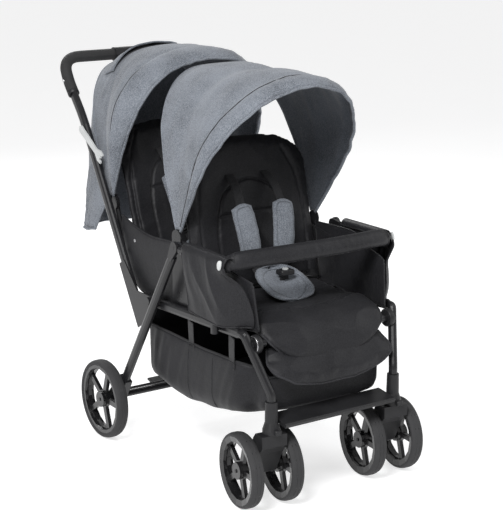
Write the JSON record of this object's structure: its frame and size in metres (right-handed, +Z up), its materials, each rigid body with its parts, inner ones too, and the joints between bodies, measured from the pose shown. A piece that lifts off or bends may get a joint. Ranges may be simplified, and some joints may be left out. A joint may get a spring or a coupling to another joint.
{
  "type": "tandem double stroller",
  "caption": "Folding tandem pushchair with seats one behind the other, hoods, basket, bumper bar and swivel front wheels.",
  "frame": {"origin": "on the floor under the middle of the whole length and width", "axes": "+Z up, the stroller faces -Y, +X to the child's left"},
  "size_m": [0.596, 1.0931, 1.0769],
  "materials": {
    "satin_black_tube": "satin black lacquer",
    "black_plastic": "fine grained black",
    "rim_black": "glossy black",
    "tyre_rubber": "matt dark grey",
    "black_cloth": "plain woven black",
    "grey_melange": "blue-grey melange weave",
    "grip_foam": "matt foam",
    "light_grey_plastic": "satin light grey"
  },
  "bodies": {
    "chassis": {"seat_frame": "satin_black_tube", "fold_bolt_left": "satin_black_tube", "fold_bolt_right": "satin_black_tube", "front_leg_left": "satin_black_tube", "front_leg_right": "satin_black_tube", "castor_housing_left": "black_plastic", "castor_housing_right": "black_plastic", "footrest_tray": "black_plastic", "armrest_left": "satin_black_tube", "armrest_right": "satin_black_tube", "front_seat_pad": "black_cloth", "rear_seat_pad": "black_cloth", "rear_seat_frame": "satin_black_tube", "front_canopy_rear": "grey_melange", "rear_canopy_rear": "grey_melange", "rear_flap": "grey_melange", "front_side_panel_left": "black_cloth", "front_side_panel_right": "black_cloth", "rear_side_panel_left": "black_cloth", "rear_side_panel_right": "black_cloth", "storage_basket": "black_cloth", "front_crotch_pad": "grey_melange", "rear_crotch_pad": "grey_melange", "front_buckle": "black_plastic", "rear_buckle": "black_plastic"},
    "handle": {"handle_tube": "satin_black_tube", "handle_grip": "grip_foam", "handle_sleeve": "black_plastic"},
    "lever_left": {"fold_lever_left": "light_grey_plastic"},
    "lever_right": {"fold_lever_right": "light_grey_plastic"},
    "rear_legs": {"rear_leg_left": "satin_black_tube", "rear_leg_right": "satin_black_tube", "rear_axle": "satin_black_tube"},
    "brake": {"brake_pedal": "black_plastic"},
    "rear_wheel_left": {"rear_rim_left": "rim_black", "rear_tyre_left": "tyre_rubber"},
    "rear_wheel_right": {"rear_rim_right": "rim_black", "rear_tyre_right": "tyre_rubber"},
    "castor_left": {"castor_fork_left": "black_plastic"},
    "castor_right": {"castor_fork_right": "black_plastic"},
    "castor_wheel_left_outer": {"front_wheel_left_outer": "rim_black"},
    "castor_wheel_left_inner": {"front_wheel_left_inner": "rim_black"},
    "castor_wheel_right_outer": {"front_wheel_right_outer": "rim_black"},
    "castor_wheel_right_inner": {"front_wheel_right_inner": "rim_black"},
    "lock_left": {"castor_lock_left": "black_plastic"},
    "lock_right": {"castor_lock_right": "black_plastic"},
    "front_back": {"front_backrest": "black_cloth", "front_shoulder_pad_left": "grey_melange", "front_shoulder_pad_right": "grey_melange"},
    "rear_back": {"rear_backrest": "black_cloth", "rear_shoulder_pad_left": "grey_melange", "rear_shoulder_pad_right": "grey_melange"},
    "front_hood": {"front_canopy_front": "grey_melange"},
    "rear_hood": {"rear_canopy_front": "grey_melange"},
    "leg_support": {"legrest": "black_cloth"},
    "bumper": {"bumper_bar": "black_cloth"},
    "bumper_release_left": {"bumper_button_left": "black_plastic"},
    "bumper_release_right": {"bumper_button_right": "black_plastic"},
    "front_buckle_release": {"front_buckle_button": "light_grey_plastic"},
    "rear_buckle_release": {"rear_buckle_button": "light_grey_plastic"}
  },
  "joints": [
    {"name": "handle_fold", "type": "hinge", "parent": "chassis", "child": "handle", "pos_m": [0, -0.002, 0.4285], "axis": [1, 0, 0], "range_deg": [0, 92]},
    {"name": "rear_leg_fold", "type": "hinge", "parent": "chassis", "child": "rear_legs", "pos_m": [0, -0.162, 0.609], "axis": [-1, 0, 0], "range_deg": [0, 38]},
    {"name": "fold_lever_left_pull", "type": "slide", "parent": "handle", "child": "lever_left", "axis": [0, 0.5165, 0.8563], "range_m": [0, 0.02], "stiffness_N_per_m": 200},
    {"name": "fold_lever_right_pull", "type": "slide", "parent": "handle", "child": "lever_right", "axis": [0, 0.5165, 0.8563], "range_m": [0, 0.02], "stiffness_N_per_m": 200},
    {"name": "brake_press", "type": "hinge", "parent": "rear_legs", "child": "brake", "pos_m": [-0.08, 0.1855, 0.11], "axis": [-1, 0, 0], "range_deg": [0, 22]},
    {"name": "rear_wheel_left_spin", "type": "hinge", "parent": "rear_legs", "child": "rear_wheel_left", "pos_m": [0.281, 0.1855, 0.11], "axis": [1, 0, 0], "continuous": true},
    {"name": "rear_wheel_right_spin", "type": "hinge", "parent": "rear_legs", "child": "rear_wheel_right", "pos_m": [-0.281, 0.1855, 0.11], "axis": [1, 0, 0], "continuous": true},
    {"name": "castor_left_swivel", "type": "hinge", "parent": "chassis", "child": "castor_left", "pos_m": [0.191, -0.497, 0.2], "axis": [0, 0, 1], "continuous": true},
    {"name": "castor_right_swivel", "type": "hinge", "parent": "chassis", "child": "castor_right", "pos_m": [-0.191, -0.497, 0.2], "axis": [0, 0, 1], "continuous": true},
    {"name": "front_wheel_left_outer_spin", "type": "hinge", "parent": "castor_left", "child": "castor_wheel_left_outer", "pos_m": [0.19734, -0.44539, 0.096], "axis": [0.9925, -0.1219, 0], "continuous": true},
    {"name": "front_wheel_left_inner_spin", "type": "hinge", "parent": "castor_left", "child": "castor_wheel_left_inner", "pos_m": [0.19734, -0.44539, 0.096], "axis": [0.9925, -0.1219, 0], "continuous": true},
    {"name": "front_wheel_right_outer_spin", "type": "hinge", "parent": "castor_right", "child": "castor_wheel_right_outer", "pos_m": [-0.18466, -0.44539, 0.096], "axis": [0.9925, -0.1219, 0], "continuous": true},
    {"name": "front_wheel_right_inner_spin", "type": "hinge", "parent": "castor_right", "child": "castor_wheel_right_inner", "pos_m": [-0.18466, -0.44539, 0.096], "axis": [0.9925, -0.1219, 0], "continuous": true},
    {"name": "castor_lock_left_lift", "type": "slide", "parent": "chassis", "child": "lock_left", "axis": [0, 0, 1], "range_m": [0, 0.006]},
    {"name": "castor_lock_right_lift", "type": "slide", "parent": "chassis", "child": "lock_right", "axis": [0, 0, 1], "range_m": [0, 0.006]},
    {"name": "front_backrest_recline", "type": "hinge", "parent": "chassis", "child": "front_back", "pos_m": [0, -0.152, 0.462], "axis": [-1, 0, 0], "range_deg": [0, 30]},
    {"name": "rear_backrest_recline", "type": "hinge", "parent": "chassis", "child": "rear_back", "pos_m": [0, 0.163, 0.492], "axis": [-1, 0, 0], "range_deg": [0, 15]},
    {"name": "front_canopy_fold", "type": "hinge", "parent": "chassis", "child": "front_hood", "pos_m": [0, -0.112, 0.62], "axis": [-1, 0, 0], "range_deg": [0, 26]},
    {"name": "rear_canopy_fold", "type": "hinge", "parent": "chassis", "child": "rear_hood", "pos_m": [0, 0.235, 0.653], "axis": [-1, 0, 0], "range_deg": [0, 24]},
    {"name": "legrest_tilt", "type": "hinge", "parent": "chassis", "child": "leg_support", "pos_m": [0, -0.452, 0.419], "axis": [-1, 0, 0], "range_deg": [0, 55]},
    {"name": "bumper_bar_pull", "type": "slide", "parent": "chassis", "child": "bumper", "axis": [0, -1, 0], "range_m": [0, 0.06]},
    {"name": "bumper_button_left_press", "type": "slide", "parent": "chassis", "child": "bumper_release_left", "axis": [0, 0, -1], "range_m": [0, 0.003], "stiffness_N_per_m": 300},
    {"name": "bumper_button_right_press", "type": "slide", "parent": "chassis", "child": "bumper_release_right", "axis": [0, 0, -1], "range_m": [0, 0.003], "stiffness_N_per_m": 300},
    {"name": "front_buckle_press", "type": "slide", "parent": "chassis", "child": "front_buckle_release", "axis": [0, 0, -1], "range_m": [0, 0.003], "stiffness_N_per_m": 300},
    {"name": "rear_buckle_press", "type": "slide", "parent": "chassis", "child": "rear_buckle_release", "axis": [0, 0, -1], "range_m": [0, 0.003], "stiffness_N_per_m": 300}
  ],
  "couplings": [
    {"joint": "rear_leg_fold", "follows": "handle_fold", "ratio": 0.413}
  ]
}
